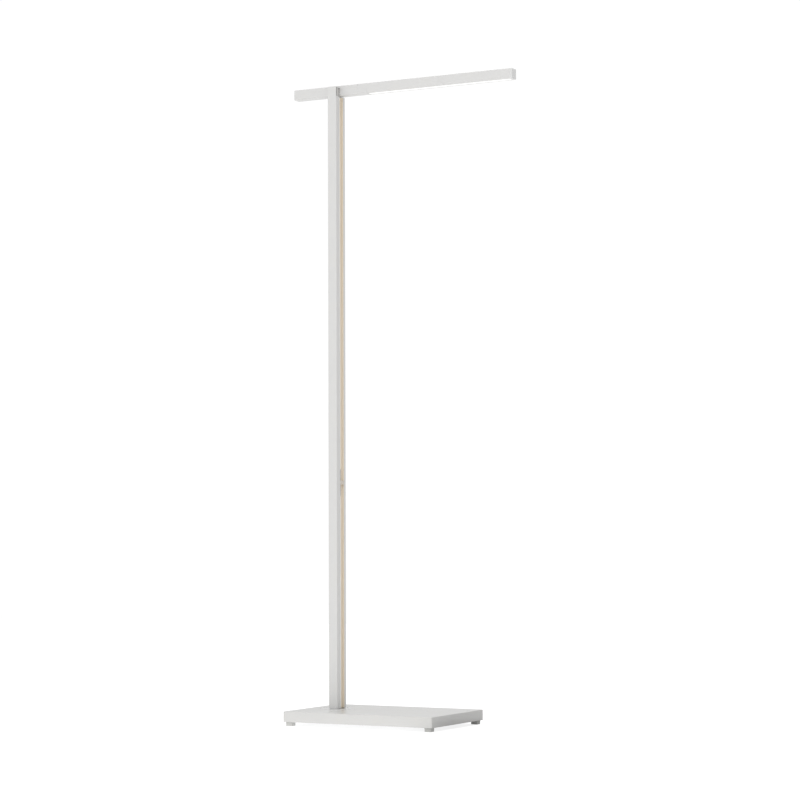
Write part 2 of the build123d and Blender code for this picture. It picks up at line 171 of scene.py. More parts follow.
def place(grid, across, up, origin):
    """Turns a grid drawn as (x, y, height) so that x lies along across and height along up."""
    third = np.cross(up, across)
    x, y, height = grid[..., :1], grid[..., 1:2], grid[..., 2:]
    turned = x * np.array(across) + y * third + height * np.array(up)
    return turned + np.array(origin)


finished = []


def piece(name, mesh, body, replaced, finish, slot, angle=35):
    """A finished piece: closed, outward, smooth below an angle, riding on its body."""
    volume = outward(mesh)
    thing = bpy.data.objects.new(name, mesh)
    bpy.context.scene.collection.objects.link(thing)
    mesh.shade_smooth()
    mesh.set_sharp_from_angle(angle=math.radians(angle))
    mesh.materials.append(finish)
    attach(thing, body)
    if replaced:
        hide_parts(*replaced)
    finished.append(name)
    print(name, len(mesh.polygons), "faces,", round(volume * 1e6, 2), "cubic cm")
    return thing


# %% [markdown]
# ## Building a finish
# A finish here is always the same idea: a shader, one or two patterns at the size that the real
# surface has, and a fine relief. A short helper joins nodes by name, so that each finish reads as
# a recipe. All patterns are laid out on Object coordinates, in metres.

# %% Finish helpers
def set_ramp(node, start, end, low, high):
    """Makes a Map Range node run from low at start to high at end."""
    sockets = ("From Min", "From Max", "To Min", "To Max")
    for socket, value in zip(sockets, (start, end, low, high)):
        node.inputs[socket].default_value = value


class Finish:
    """A material and short calls to add its nodes."""

    def __init__(self, name, stretch=(1, 1, 1), **sockets):
        self.material = bpy.data.materials.new(name)
        self.material.use_nodes = True
        self.tree = self.material.node_tree
        self.shader = self.tree.nodes["Principled BSDF"]
        for socket, value in sockets.items():
            self.shader.inputs[socket.replace("_", " ")].default_value = value
        self.height = None
        self.coordinates = self.node("ShaderNodeTexCoord")
        self.mapping = self.node("ShaderNodeMapping")
        self.mapping.inputs["Scale"].default_value = stretch
        self.join(self.coordinates.outputs["Object"], self.mapping.inputs["Vector"])

    def node(self, kind, **settings):
        """A node of the kind, with its settings."""
        made = self.tree.nodes.new(kind)
        for key, value in settings.items():
            setattr(made, key, value)
        return made

    def join(self, start, end):
        """A link from an output to an input."""
        self.tree.links.new(start, end)

    def noise(self, size, detail=3.0, roughness=0.55, even=False):
        """A noise pattern whose patches are about the given size, in metres."""
        made = self.node("ShaderNodeTexNoise")
        made.inputs["Scale"].default_value = 1 / size
        made.inputs["Detail"].default_value = detail
        made.inputs["Roughness"].default_value = roughness
        source = self.coordinates.outputs["Object"] if even else self.mapping.outputs["Vector"]
        self.join(source, made.inputs["Vector"])
        return made.outputs["Fac"]

    def cells(self, size):
        """A pattern of rounded cells of about the given size, in metres."""
        made = self.node("ShaderNodeTexVoronoi")
        made.inputs["Scale"].default_value = 1 / size
        self.join(self.mapping.outputs["Vector"], made.inputs["Vector"])
        return made.outputs["Distance"]

    def spread(self, pattern, low, high):
        """The pattern stretched from its usual 0.3 to 0.7 to the low and high values."""
        made = self.node("ShaderNodeMapRange")
        set_ramp(made, 0.3, 0.7, low, high)
        self.join(pattern, made.inputs["Value"])
        return made.outputs["Result"]

    def colours(self, pattern, *stops):
        """A colour for each (place, colour) stop of the pattern, on the shader's base colour."""
        ramp = self.node("ShaderNodeValToRGB")
        points = ramp.color_ramp.elements
        while len(points) < len(stops):
            points.new(0.5)
        for point, (where, colour) in zip(points, stops):
            point.position = where
            point.color = (*colour, 1)
        self.join(pattern, ramp.inputs["Fac"])
        self.join(ramp.outputs["Color"], self.shader.inputs["Base Color"])
        return self

    def times(self, first, second):
        """The product of two values, or the second alone where there is no first."""
        if first is None:
            return second
        made = self.node("ShaderNodeMath", operation="MULTIPLY")
        self.join(first, made.inputs[0])
        self.join(second, made.inputs[1])
        return made.outputs["Value"]

    def rough(self, pattern, low, high):
        """Roughness that follows the pattern from low to high."""
        self.join(self.spread(pattern, low, high), self.shader.inputs["Roughness"])
        return self

    def relief(self, pattern, depth, strength=1.0):
        """A relief as deep as depth, in metres, on top of any that is there."""
        bump = self.node("ShaderNodeBump")
        bump.inputs["Distance"].default_value = depth
        bump.inputs["Strength"].default_value = strength
        self.join(pattern, bump.inputs["Height"])
        if self.height:
            self.join(self.height, bump.inputs["Normal"])
        self.height = bump.outputs["Normal"]
        self.join(self.height, self.shader.inputs["Normal"])
        return self


# %% [markdown]
# ## White powder coat
# The foot, the stem, the arm and their caps are steel and aluminium with a satin white powder
# coat. Powder melts into a skin with a very fine orange peel, a few tenths of a millimetre
# across, over a slower waviness, and a faint mottle in the white. Paint could be a plain glossy
# shader, but then long flat faces look like plastic sheet: the two sizes of relief are what break
# up a highlight. Wear on such a lamp is only dust and faint handling marks, so the roughness
# drifts over about 40 mm instead of showing scratches.

# %% Powder coats
# Sizes of the coat's patterns and the depth of its relief, in metres
mottle_size = 0.035
gloss_size = 0.04
wave_size = 0.012
peel_size = 0.0006
skin_relief = 0.00001


def powder_coat(name, colour, roughness, coat=0.0):
    """Satin powder coat of a colour: mottle, drifting gloss, orange peel and slow waviness."""
    darker = tuple(c * 0.982 for c in colour)
    warmer = (colour[0] * 1.003, colour[1], colour[2] * 0.988)
    made = Finish(name, Coat_Weight=coat, Coat_Roughness=0.10)
    mottle = made.noise(mottle_size, 5)
    made.colours(mottle, (0.3, darker), (0.5, colour), (0.72, warmer))
    made.rough(made.noise(gloss_size, 4), roughness - 0.03, roughness + 0.04)
    made.relief(made.noise(wave_size, 2), skin_relief, 0.15)
    made.relief(made.noise(peel_size, 2), skin_relief, 0.45)
    return made


# Near-black inside of the stem's head: bare metal, darkened far past bare aluminium as painted
# shade in the window's gaps
bare_metal_painted_shade = (0.05, 0.047, 0.045, 1)


def bare_and_painted_shade_above(made, height):
    """Colours the inside of the stem's walls above a height near black: the metal is bare there,
    and the near-black is painted shade of the head's gaps.

    A point is inside where its distances from the stem's axis are both less than the half sizes
    less the skin of paint: each test is a Math node that gives 0 or 1, and the three multiply.
    """
    place_of = made.node("ShaderNodeSeparateXYZ")
    made.join(made.coordinates.outputs["Object"], place_of.inputs["Vector"])
    skin = 0.4 * mm
    half = (stem_high - stem_low) / 2 - skin
    inside = None
    for axis, middle in (("X", stem_x), ("Y", stem_y)):
        close = made.node("ShaderNodeMath", operation="COMPARE")
        made.join(place_of.outputs[axis], close.inputs[0])
        close.inputs[1].default_value = middle
        close.inputs[2].default_value = half["XY".index(axis)]
        inside = made.times(inside, close.outputs["Value"])
    over = made.node("ShaderNodeMath", operation="GREATER_THAN")
    made.join(place_of.outputs["Z"], over.inputs[0])
    over.inputs[1].default_value = height
    inside = made.times(inside, over.outputs["Value"])
    mix = made.node("ShaderNodeMix", data_type="RGBA")
    painted = made.shader.inputs["Base Color"].links[0].from_socket
    made.join(inside, mix.inputs["Factor"])
    made.join(painted, mix.inputs["A"])
    mix.inputs["B"].default_value = bare_metal_painted_shade
    made.join(mix.outputs["Result"], made.shader.inputs["Base Color"])
    return made


paint_base = powder_coat("paint_base", (0.665, 0.660, 0.646), 0.30, coat=0.25).material
stem_coat = powder_coat("paint_stem", (0.672, 0.669, 0.660), 0.38)
bare_and_shade_reach = 4 * mm
# The stem's coat turns near black inside the head, from a little below the arm's underside up: bare
# metal with painted shade
paint_stem = bare_and_painted_shade_above(stem_coat, arm_low[2] - bare_and_shade_reach).material
paint_arm = powder_coat("paint_arm", (0.672, 0.668, 0.660), 0.38).material
paint_end = powder_coat("paint_end", (0.74, 0.74, 0.738), 0.40).material
paint_disc = powder_coat("paint_disc", (0.62, 0.62, 0.61), 0.18, coat=1.0).material
print("powder coats: base, stem, arm, end caps, disc")


# %% [markdown]
# ## Metals
# The lining of the stem's channel is a bronze anodised strip and a bright trim, both drawn
# lengthways, so their grain is long streaks up the stem. The grain is a noise that is stretched
# along the drawing direction, in the colour, the roughness and the relief alike. Zinc plating is
# a fine blotchy spangle, turned steel has rings or lengthways lines, and sintered bronze shows
# pores.

# %% Metal finishes
streak_width = 0.0005
spangle_size = 0.0012


def drawn_metal(name, light, dark, roughness, stretch, metallic=1.0):
    """Metal with streaks along one axis: stretch is small along the streaks."""
    made = Finish(name, stretch=stretch, Metallic=metallic)
    streaks = made.noise(streak_width, 4, 0.65)
    made.colours(streaks, (0.25, dark), (0.75, light))
    made.rough(streaks, roughness - 0.06, roughness + 0.10)
    made.relief(streaks, 0.000008, 0.6)
    made.relief(made.noise(0.02, 3, even=True), 0.000015, 0.3)
    return made.material


def plated_steel(name, light, dark, roughness):
    """Zinc plating: a fine spangle of cells with a cloudy tone over them."""
    made = Finish(name, Metallic=1.0)
    made.colours(made.noise(0.004, 6, 0.7), (0.3, dark), (0.7, light))
    made.rough(made.noise(0.002, 5), roughness - 0.08, roughness + 0.12)
    made.relief(made.cells(spangle_size), 0.00001, 0.5)
    return made.material


up_stem = (1, 1, 0.01)
along_arm = (0.01, 1, 1)
mill_light, mill_dark = (0.80, 0.81, 0.82), (0.66, 0.67, 0.69)
bronze_strip = drawn_metal(
    "bronze_strip", (0.90, 0.815, 0.69), (0.75, 0.665, 0.545), 0.42, up_stem, metallic=0.12
)
bright_trim = drawn_metal(
    "bright_trim", (0.93, 0.93, 0.92), (0.86, 0.86, 0.85), 0.34, up_stem, metallic=0.25
)
ground_steel = drawn_metal(
    "ground_steel", (0.58, 0.58, 0.59), (0.42, 0.42, 0.43), 0.30, stretch=(1, 0.04, 1)
)
lug_steel = drawn_metal(
    "lug_steel", (0.70, 0.69, 0.675), (0.56, 0.555, 0.54), 0.42, (1, 1, 0.05), metallic=0.4
)
mill_aluminium = drawn_metal("mill_aluminium", mill_light, mill_dark, 0.36, along_arm)
foot_plug_aluminium = drawn_metal("foot_plug_aluminium", mill_light, mill_dark, 0.36, up_stem)
rolled_steel = drawn_metal(
    "rolled_steel", (0.25, 0.25, 0.26), (0.14, 0.14, 0.15), 0.5, along_arm
)
zinc_plate = plated_steel("zinc_plate", (0.66, 0.66, 0.65), (0.50, 0.51, 0.53), 0.36)
zinc_screw = plated_steel("zinc_screw", (0.70, 0.70, 0.70), (0.52, 0.53, 0.55), 0.30)


def sintered_bronze():
    """Pressed bronze powder: warm brown metal with open pores a tenth of a millimetre wide."""
    made = Finish("sintered_bronze", Metallic=0.9)
    made.colours(made.noise(0.0009, 6), (0.3, (0.36, 0.22, 0.10)), (0.7, (0.66, 0.44, 0.22)))
    made.rough(made.noise(0.001), 0.42, 0.62)
    made.relief(made.cells(0.0004), 0.00003, 0.8)
    return made.material


bearing_bronze = sintered_bronze()
print("metals made:", bronze_strip.name, bright_trim.name, zinc_plate.name, bearing_bronze.name)


# %% [markdown]
# ## Plastics, rubber and the light
# Moulded plastic has the fine spark-eroded grain of its tool. The lens is opal acrylic, which
# scatters the light behind it: here it gives off a soft even light of its own and keeps its
# satin surface, with faint flow lines along the extrusion. The emitters are yellow phosphor gel
# in white cups, on a board with a fine solder mask.

# %% Plastic finishes
def moulded(name, light, dark, roughness, grain=0.0005, depth=0.00002, **sockets):
    """Moulded plastic or rubber: spark grain, slightly uneven gloss and tone."""
    made = Finish(name, **sockets)
    made.colours(made.noise(0.006, 4), (0.3, dark), (0.7, light))
    made.rough(made.noise(0.003, 3), roughness - 0.06, roughness + 0.08)
    made.relief(made.cells(grain), depth, 0.7)
    return made.material


foot_plastic = moulded("foot_plastic", (0.60, 0.60, 0.58), (0.54, 0.54, 0.52), 0.5)
knob_plastic = moulded("knob_plastic", (0.66, 0.60, 0.53), (0.58, 0.52, 0.45), 0.42)
slip_plastic = moulded("slip_plastic", (0.84, 0.84, 0.80), (0.78, 0.78, 0.74), 0.32)
dark_plastic = moulded("dark_plastic", (0.035, 0.035, 0.038), (0.02, 0.02, 0.022), 0.48)
gland_rubber = moulded("gland_rubber", (0.030, 0.030, 0.030), (0.016, 0.016, 0.017), 0.7, 0.0008)
lead_sheath = moulded("lead_sheath", (0.80, 0.80, 0.77), (0.72, 0.72, 0.69), 0.44, 0.0003)
solder_mask = moulded("solder_mask", (0.86, 0.87, 0.84), (0.80, 0.81, 0.78), 0.34, 0.0002, 0.000006)


def opal_lens():
    """Opal acrylic: near white, satin, with faint lines along the arm and an even glow."""
    made = Finish("opal_lens", stretch=along_arm, IOR=1.49, Emission_Strength=0.34)
    made.shader.inputs["Emission Color"].default_value = (1.0, 0.995, 0.97, 1)
    made.colours(made.noise(0.0015, 3), (0.3, (0.78, 0.78, 0.76)), (0.7, (0.83, 0.83, 0.81)))
    made.rough(made.noise(0.0008, 3), 0.34, 0.46)
    made.relief(made.noise(0.0007, 2), 0.00001, 0.5)
    return made.material


def phosphor_gel():
    """The emitters' gel: deep yellow with pale grains, glossy."""
    made = Finish("phosphor_gel", IOR=1.45, Coat_Weight=0.6)
    made.colours(made.noise(0.0006, 4), (0.35, (0.80, 0.55, 0.10)), (0.65, (0.93, 0.76, 0.30)))
    made.rough(made.noise(0.0004, 2), 0.16, 0.30)
    made.relief(made.noise(0.0003, 2), 0.00001, 0.4)
    return made.material


lens_finish = opal_lens()
chip_finish = phosphor_gel()
print("plastics made:", foot_plastic.name, lens_finish.name, chip_finish.name)


# %% [markdown]
# ## The foot's cover
# The cover is a folded steel tray, upside down, with a round hole for the disc that turns. Its
# top edge is softly rounded and catches a thin light line. A box with a bevel could do, but the
# hole would then need a boolean through a bevelled mesh. Instead one sheet goes all the way
# round: up the outside, over the top edge, in to the hole, down through the thickness and back
# inside. Each row is a closed outline, and each column goes out along a ray from the hole's
# middle, so that the rows never cross.

# %% Cover of the foot
def quarter(start_out, start_up, radius, steps):
    """Distances inwards and upwards of a rounded edge that ends radius higher and further in."""
    turn = np.linspace(0, math.pi / 2, steps)
    return [(start_out + radius * (1 - math.cos(a)), start_up + radius * math.sin(a)) for a in turn]


disc_low, disc_high = limits("swivel_disc")
disc_radius = (disc_high[0] - disc_low[0]) / 2
disc_gap = 0.5 * mm
hole_radius = disc_radius + disc_gap
cover_wall = 2.0 * mm


def foot_cover():
    """One closed sheet of rounded rectangles that narrow to the hole's circle."""
    columns = 480
    half = (base_high[:2] - base_low[:2]) / 2
    middle = (base_high[:2] + base_low[:2]) / 2
    hole_middle = np.array([stem_x, stem_y])
    top, bottom = base_high[2], base_low[2]
    edge = 0.9 * mm
    corner = 2.2 * mm
    least_corner = 0.4 * mm
    soft = 0.25 * mm

    def ring(inset):
        """The outline of the tray, moved in."""
        radius = max(corner - inset, least_corner)
        return outline(half[0] - inset, half[1] - inset, radius, columns) + middle

    rim = ring(edge)
    ray = rim - hole_middle
    ray = ray / np.linalg.norm(ray, axis=1)[:, None]

    def circle(radius):
        """The hole's circle, one point on each column's ray."""
        return hole_middle + ray * radius

    rows = [level(ring(soft), bottom), level(ring(0.0), bottom + soft)]
    rows += [level(ring(inset), height) for inset, height in quarter(0, top - edge, edge, 7)]
    share = np.linspace(0, 1, 12)[1:-1]
    rows += [level(rim * (1 - s) + circle(hole_radius + soft) * s, top) for s in share]
    rows.append(level(circle(hole_radius + soft), top))
    rows.append(level(circle(hole_radius), top - soft))
    rows.append(level(circle(hole_radius), top - cover_wall))
    rows += [
        level(ring(cover_wall) * s + circle(hole_radius) * (1 - s), top - cover_wall)
        for s in (0.33, 0.66, 1.0)
    ]
    rows.append(level(ring(cover_wall), bottom))
    return grid_mesh("foot_cover", np.array(rows), loop_rows=True)


gland_low, gland_high = limits("cable_gland")
gland_middle = (gland_low + gland_high) / 2
cover = foot_cover()


def drill(mesh, origin, radius, length):
    """The mesh with a round hole along Y, cut by an exact boolean that is then applied."""
    turn = np.linspace(0, 2 * math.pi, 48, endpoint=False)
    circle = np.stack([np.cos(turn), np.sin(turn)], axis=1) * radius
    rows = np.array([level(circle, -length / 2), level(circle, length / 2)])
    tool_mesh = grid_mesh("drill", place(rows, (1, 0, 0), (0, 1, 0), origin))
    outward(tool_mesh)
    outward(mesh)
    tool = bpy.data.objects.new("drill", tool_mesh)
    target = bpy.data.objects.new("drilled", mesh)
    for thing in (tool, target):
        bpy.context.scene.collection.objects.link(thing)
    cut = target.modifiers.new("cut", "BOOLEAN")
    cut.operation = "DIFFERENCE"
    cut.solver = "EXACT"
    cut.object = tool
    bpy.context.view_layer.update()
    graph = bpy.context.evaluated_depsgraph_get()
    result = bpy.data.meshes.new_from_object(target.evaluated_get(graph))
    bpy.data.objects.remove(tool)
    bpy.data.objects.remove(target)
    return result


gland_hole = 4.0 * mm
wall_middle = (gland_middle[0], base_high[1] - cover_wall / 2, gland_middle[2])
cover = drill(cover, wall_middle, gland_hole, 3 * cover_wall)
piece("foot_cover", cover, "base", ["base_cover"], paint_base, "white_steel", 30)


# %% [markdown]
# ## Turned pieces
# The disc, the washers, the bush, the spindle and the gland are all turned or moulded round. A
# turned piece is its half section carried round the axis: each (radius, height) corner of the
# section is one row of the grid, and the section closes on itself where there is a bore.

# %% Turned pieces
def turned(name, section, columns, origin, up=(0, 0, 1), across=(1, 0, 0)):
    """A closed half section of (radius, height) corners carried round the axis."""
    radius, height = np.array(section).T
    turn = np.linspace(0, 2 * math.pi, columns, endpoint=False)
    grid = np.stack(
        [
            radius[:, None] * np.cos(turn),
            radius[:, None] * np.sin(turn),
            np.repeat(height[:, None], columns, axis=1),
        ],
        axis=-1,
    )
    return grid_mesh(name, place(grid, across, up, origin), loop_rows=True)


def washer_section(inner, outer, low, high, soft):
    """A ring's section with its four edges broken by soft."""
    return [
        (inner, low + soft),
        (inner + soft, low),
        (outer - soft, low),
        (outer - soft * 0.3, low + soft * 0.3),
        (outer, low + soft),
        (outer, high - soft),
        (outer - soft * 0.3, high - soft * 0.3),
        (outer - soft, high),
        (inner + soft, high),
        (inner, high - soft),
    ]


spindle_low, spindle_high = limits("swivel_spindle")
spindle_radius = (spindle_high[0] - spindle_low[0]) / 2
axis_foot = (stem_x, stem_y, 0)


def ring_piece(node, inner, body, finish, slot, soft, columns=96):
    """A ring that stands for a round node, with its box's radius and height."""
    low, high = limits(node)
    outer = (high[0] - low[0]) / 2
    section = washer_section(inner, outer, low[2], high[2], soft)
    name = node + "_turned"
    piece(name, turned(name, section, columns, axis_foot), body, [node], finish, slot)


close_bore = spindle_radius + 0.05 * mm
wide_bore = spindle_radius + 1.05 * mm
ring_piece("swivel_disc", close_bore, "stem", paint_disc, "white_aluminium", 0.35 * mm, 192)
ring_piece("spindle_washer", close_bore, "stem", zinc_plate, "zinc_steel", 0.15 * mm)
ring_piece("swivel_bush", close_bore, "base", bearing_bronze, "bearing_bronze", 0.3 * mm)
ring_piece("thrust_washer", wide_bore, "base", slip_plastic, "slip_plastic", 0.12 * mm, 128)


# %% [markdown]
# ## Cable gland
# The gland is a soft rubber bush that snaps in the back wall: a neck in the hole, a flange each
# side, and a rounded mouth that keeps the power lead from chafing. It is one more turned piece,
# with its axis along Y and a section with full round lips.

# %% Gland
def gland_section():
    """Half section along the gland's axis, from its inner flange to its outer one."""
    half = (gland_high[1] - gland_low[1]) / 2
    bore = 2.5 * mm
    neck = gland_hole - 0.1 * mm
    rim = (gland_high[0] - gland_low[0]) / 2
    lip = 0.5 * mm
    flange = 1.5 * mm
    turn = np.linspace(0, math.pi / 2, 5)
    inner_mouth = [(bore + lip - lip * math.cos(a), -half + lip - lip * math.sin(a)) for a in turn]
    outer_mouth = [(bore + lip - lip * math.sin(a), half - lip + lip * math.cos(a)) for a in turn]
    inner_rim = [(rim - lip + lip * math.sin(a), -half + lip - lip * math.cos(a)) for a in turn]
    outer_rim = [(rim - lip + lip * math.cos(a), half - lip + lip * math.sin(a)) for a in turn]
    waist = [
        (rim, -half + flange - lip * 0.5),
        (neck, -half + flange),
        (neck, half - flange),
        (rim, half - flange + lip * 0.5),
    ]
    return inner_mouth + inner_rim + waist + outer_rim + outer_mouth


gland = turned("gland", gland_section(), 64, gland_middle, up=(0, 1, 0))
piece("gland", gland, "base", ["cable_gland"], gland_rubber, "gland_rubber", 50)


# %% [markdown]
# ## Feet
# Each foot is a small moulded square with rounded edges, a little narrower at the floor, with a
# well for its screw. It goes from the square at the top down to the floor, in to the round well
# and up to the well's end, where the grid closes. The screw's head fills the well.

# %% Feet
screw_head = 3.8 * mm


def foot(name, low, high):
    """A square pad: rounded squares down the side, then circles up the screw's well."""
    columns = 96
    half = (high[0] - low[0]) / 2
    height = high[2] - low[2]
    edge = 0.9 * mm
    corner_radius = 1.8 * mm
    top_edge = 0.1 * mm
    draft = 0.25 * mm
    centre = ((low[0] + high[0]) / 2, (low[1] + high[1]) / 2, low[2])

    def square(inset):
        """The foot's square, moved in."""
        return outline(half - inset, half - inset, corner_radius, columns)

    rows = [level(square(top_edge), height), level(square(0.0), height - top_edge)]
    rows += [
        level(square(draft + inset), up)
        for inset, up in [(o, edge - u) for o, u in quarter(0, 0, edge, 6)]
    ]
    direction = square(0.0) / np.linalg.norm(square(0.0), axis=1)[:, None]
    well = screw_head + 0.1 * mm
    well_edge = 0.3 * mm
    well_depth = 1.5 * mm
    shank = 2.1 * mm
    cone = screw_head - 2.0 * mm
    rows.append(level(direction * (well + well_edge), 0))
    rows.append(level(direction * well, well_edge))
    rows.append(level(direction * well, well_depth))
    rows.append(level(direction * shank, well_depth + cone))
    rows.append(level(direction * shank, height))
    grid = place(np.array(rows), (1, 0, 0), (0, 0, 1), centre)
    return grid_mesh(name, grid, loop_rows=True)


for corner in ("front_left", "front_right", "back_left", "back_right"):
    node = "foot_" + corner
    low, high = limits(node)
    name = node + "_pad"
    piece(name, foot(name, low, high), "base", [node], foot_plastic, "foot_plastic", 40)


# %% [markdown]
# ## Screws
# All screws are countersunk with a hex socket. A screw is a stack of outlines too: the socket's
# floor, the hexagon up to the face, the head's rim, the cone, and a shank whose radius rises and
# falls along a helix: the radius at a turn t and a height h is the mean plus a small cosine of
# t plus h over the pitch, which is a real thread and not rings.

# %% Screws
def screw_grid(length, radius, head):
    """Rows of a countersunk screw with its face at height 0 and its point below."""
    columns = 36
    turn = np.linspace(0, 2 * math.pi, columns, endpoint=False)
    circle = np.stack([np.cos(turn), np.sin(turn)], axis=1)
    sector = (turn + math.pi / 6) % (math.pi / 3) - math.pi / 6
    hexagon = circle * (math.cos(math.pi / 6) / np.cos(sector))[:, None]
    sink = head - radius
    socket = radius * 0.62
    soft = head * 0.06
    rows = [
        level(hexagon * socket * 0.9, -sink * 0.7),
        level(hexagon * socket, -sink * 0.6),
        level(hexagon * socket, -soft),
        level(hexagon * (socket + soft), 0),
        level(circle * (head - 2 * soft), 0),
        level(circle * (head - soft * 0.5), -soft * 0.4),
        level(circle * (head - soft), -soft * 1.4),
    ]
    pitch = radius * 0.36
    depth = radius * 0.09
    steps = int((length - sink) / pitch * 6)
    for height in np.linspace(-sink, -length + radius * 0.4, steps):
        wave = radius - depth + depth * 0.9 * np.cos(turn + height / pitch * 2 * math.pi)
        rows.append(level(circle * wave[:, None], height))
    rows.append(level(circle * radius * 0.55, -length))
    return np.array(rows)


# Length, radius of the shank and radius of the head, in millimetres
low, high = limits("pivot_screw")
screw_sizes = {
    "foot_screws": (22, 2.0, 3.8),
    "plate_screws": (9, 1.2, 2.3),
    "stem_screws": (26, 2.5, 4.8),
    "bracket_screws": (9, 1.4, 2.8),
    "cap_screws": (7, 1.1, 2.2),
    "splice_screws": (7, 1.4, 2.8),
    "pivot_screw": ((high[1] - low[1]) / mm, 1.4, 2.8),
}


def screws(node, body, places, up, across):
    """All the screws of a node, with their faces at the places and up out of the hole."""
    length, radius, head = screw_sizes[node]
    grid = screw_grid(length * mm, radius * mm, head * mm)
    meshes = [
        grid_mesh(f"{node}_{i}", place(grid, across, up, spot)) for i, spot in enumerate(places)
    ]
    for mesh in meshes:
        outward(mesh)
    name = node + "_threaded"
    piece(name, merge(meshes, name), body, [node], zinc_screw, "zinc_steel", 40)


# %% Screws of the foot
def corners(node):
    """The places at the corners of a node's box, moved in by a screw head, at its lowest level."""
    low, high = limits(node)
    inset = screw_sizes[node][2] * mm
    return [
        (x, y, low[2])
        for x in (low[0] + inset, high[0] - inset)
        for y in (low[1] + inset, high[1] - inset)
    ]


along_x, along_y, along_z = (1, 0, 0), (0, 1, 0), (0, 0, 1)
to_left, down = (-1, 0, 0), (0, 0, -1)
for node in ("foot_screws", "plate_screws"):
    screws(node, "base", corners(node), down, along_x)


# %% Screws of the stem and the arm
def ends(node, axis, fixed):
    """Two places at the ends of a node's box along an axis, moved in by a screw head."""
    low, high = limits(node)
    inset = screw_sizes[node][2] * mm
    spots = []
    for value in (low[axis] + inset, high[axis] - inset):
        spot = list(fixed)
        spot[axis] = value
        spots.append(tuple(spot))
    return spots


low, high = limits("stem_screws")
screws("stem_screws", "stem", ends("stem_screws", 1, (stem_x, 0, low[2])), down, along_x)
low, high = limits("bracket_screws")
side_spot = (low[0], (low[1] + high[1]) / 2, 0)
screws("bracket_screws", "stem", ends("bracket_screws", 2, side_spot), to_left, along_y)
for node, body in (("cap_screws", "stem"), ("splice_screws", "arm")):
    low, high = limits(node)
    top_spot = (0, (low[1] + high[1]) / 2, high[2])
    screws(node, body, ends(node, 0, top_spot), along_z, along_x)
low, high = limits("pivot_screw")
back_spot = ((low[0] + high[0]) / 2, high[1], (low[2] + high[2]) / 2)
screws("pivot_screw", "arm", [back_spot], along_y, along_x)


# %% [markdown]
# ## End caps of the arm
# Both ends of the square bar are closed with a thin painted cap. Its face edges are softly
# rounded, which draws a light line round the end, and a plug behind it goes in the tube. The
# rows are rounded squares: small in the middle of the face, out to the rim, back along the side
# and in again for the plug.

# %% End caps
def arm_cap(name, node, outwards):
    """A rounded square cap that faces along X, with its plug behind."""
    low, high = limits(node)
    columns = 120
    half = (high[1] - low[1]) / 2
    depth = high[0] - low[0]
    plate = 2.0 * mm
    edge = 1.0 * mm
    corner_radius = 1.5 * mm
    plug = half - 1.7 * mm
    rim_edge = 0.05 * mm
    lead_in = 0.3 * mm
    face = high[0] if outwards > 0 else low[0]
    origin = (face, (low[1] + high[1]) / 2, (low[2] + high[2]) / 2)

    def square(half_size, radius=corner_radius):
        """A square outline with round corners."""
        return outline(half_size, half_size, radius, columns)

    rows = [level(square(half * share, half * share * 0.1), 0) for share in (0.3, 0.6)]
    rows += [level(square(half - edge + inset), -back) for back, inset in quarter(0, 0, edge, 6)]
    rows.append(level(square(half), -plate + rim_edge))
    rows.append(level(square(half - rim_edge), -plate))
    rows.append(level(square(plug), -plate))
    rows.append(level(square(plug), -depth + lead_in))
    rows.append(level(square(plug - lead_in), -depth))
    grid = place(np.array(rows), (0, 1, 0), (outwards, 0, 0), origin)
    piece(name, grid_mesh(name, grid), "arm", [node], paint_end, "white_aluminium", 40)


arm_cap("front_end_cap", "arm_front_cap", 1)
arm_cap("back_end_cap", "arm_back_cap", -1)


# %% [markdown]
# ## Lens
# The lens is an extruded opal strip with a flange along each edge that lies on the housing's
# lips. Its face is crowned by a fifth of a millimetre and its edges are rounded, so that it does
# not read as a flat sticker. The section is a closed outline across the arm and is carried
# straight along it.

# %% Lens
def lens_mesh():
    """The lens's section, (across, up), carried from one end to the other."""
    low, high = limits("led_diffuser")
    middle = (low[1] + high[1]) / 2
    flange = (high[1] - low[1]) / 2
    flange_width = 1.1 * mm
    flange_thick = 1.0 * mm
    waist = flange - flange_width
    shelf = high[2] - flange_thick
    crown = 0.2 * mm
    side = 0.35 * mm
    across = np.linspace(-1, 1, 15)
    face = [(t * (waist - side), low[2] + crown * t * t) for t in across]
    right = [(waist, low[2] + crown + side), (waist, shelf), (flange, shelf), (flange, high[2])]
    left = [(-y, z) for y, z in reversed(right)]
    section = np.array(face + right + left)
    stations = np.linspace(low[0], high[0], 160)
    soft = 0.2 * mm
    end_shrink = 0.02
    near_end = np.minimum(stations - low[0], high[0] - stations)
    shrink = np.clip(1 - near_end / soft, 0, 1) * end_shrink
    centre = section.mean(axis=0)
    grid = np.empty((len(stations), len(section), 3))
    grid[..., 0] = stations[:, None]
    scaled = centre + (section - centre) * (1 - shrink)[:, None, None]
    grid[..., 1] = middle + scaled[..., 0]
    grid[..., 2] = scaled[..., 1]
    return grid_mesh("opal_strip", grid)


piece("opal_strip", lens_mesh(), "arm", ["led_diffuser"], lens_finish, "lens_opal", 40)


# %% [markdown]
# ## Emitters
# The row of light-emitting diodes is seen only with the lens off. Each is a square cup with a
# slightly domed gel face. One small grid is worked out and copied along the row by adding each
# place to all of its points at once.

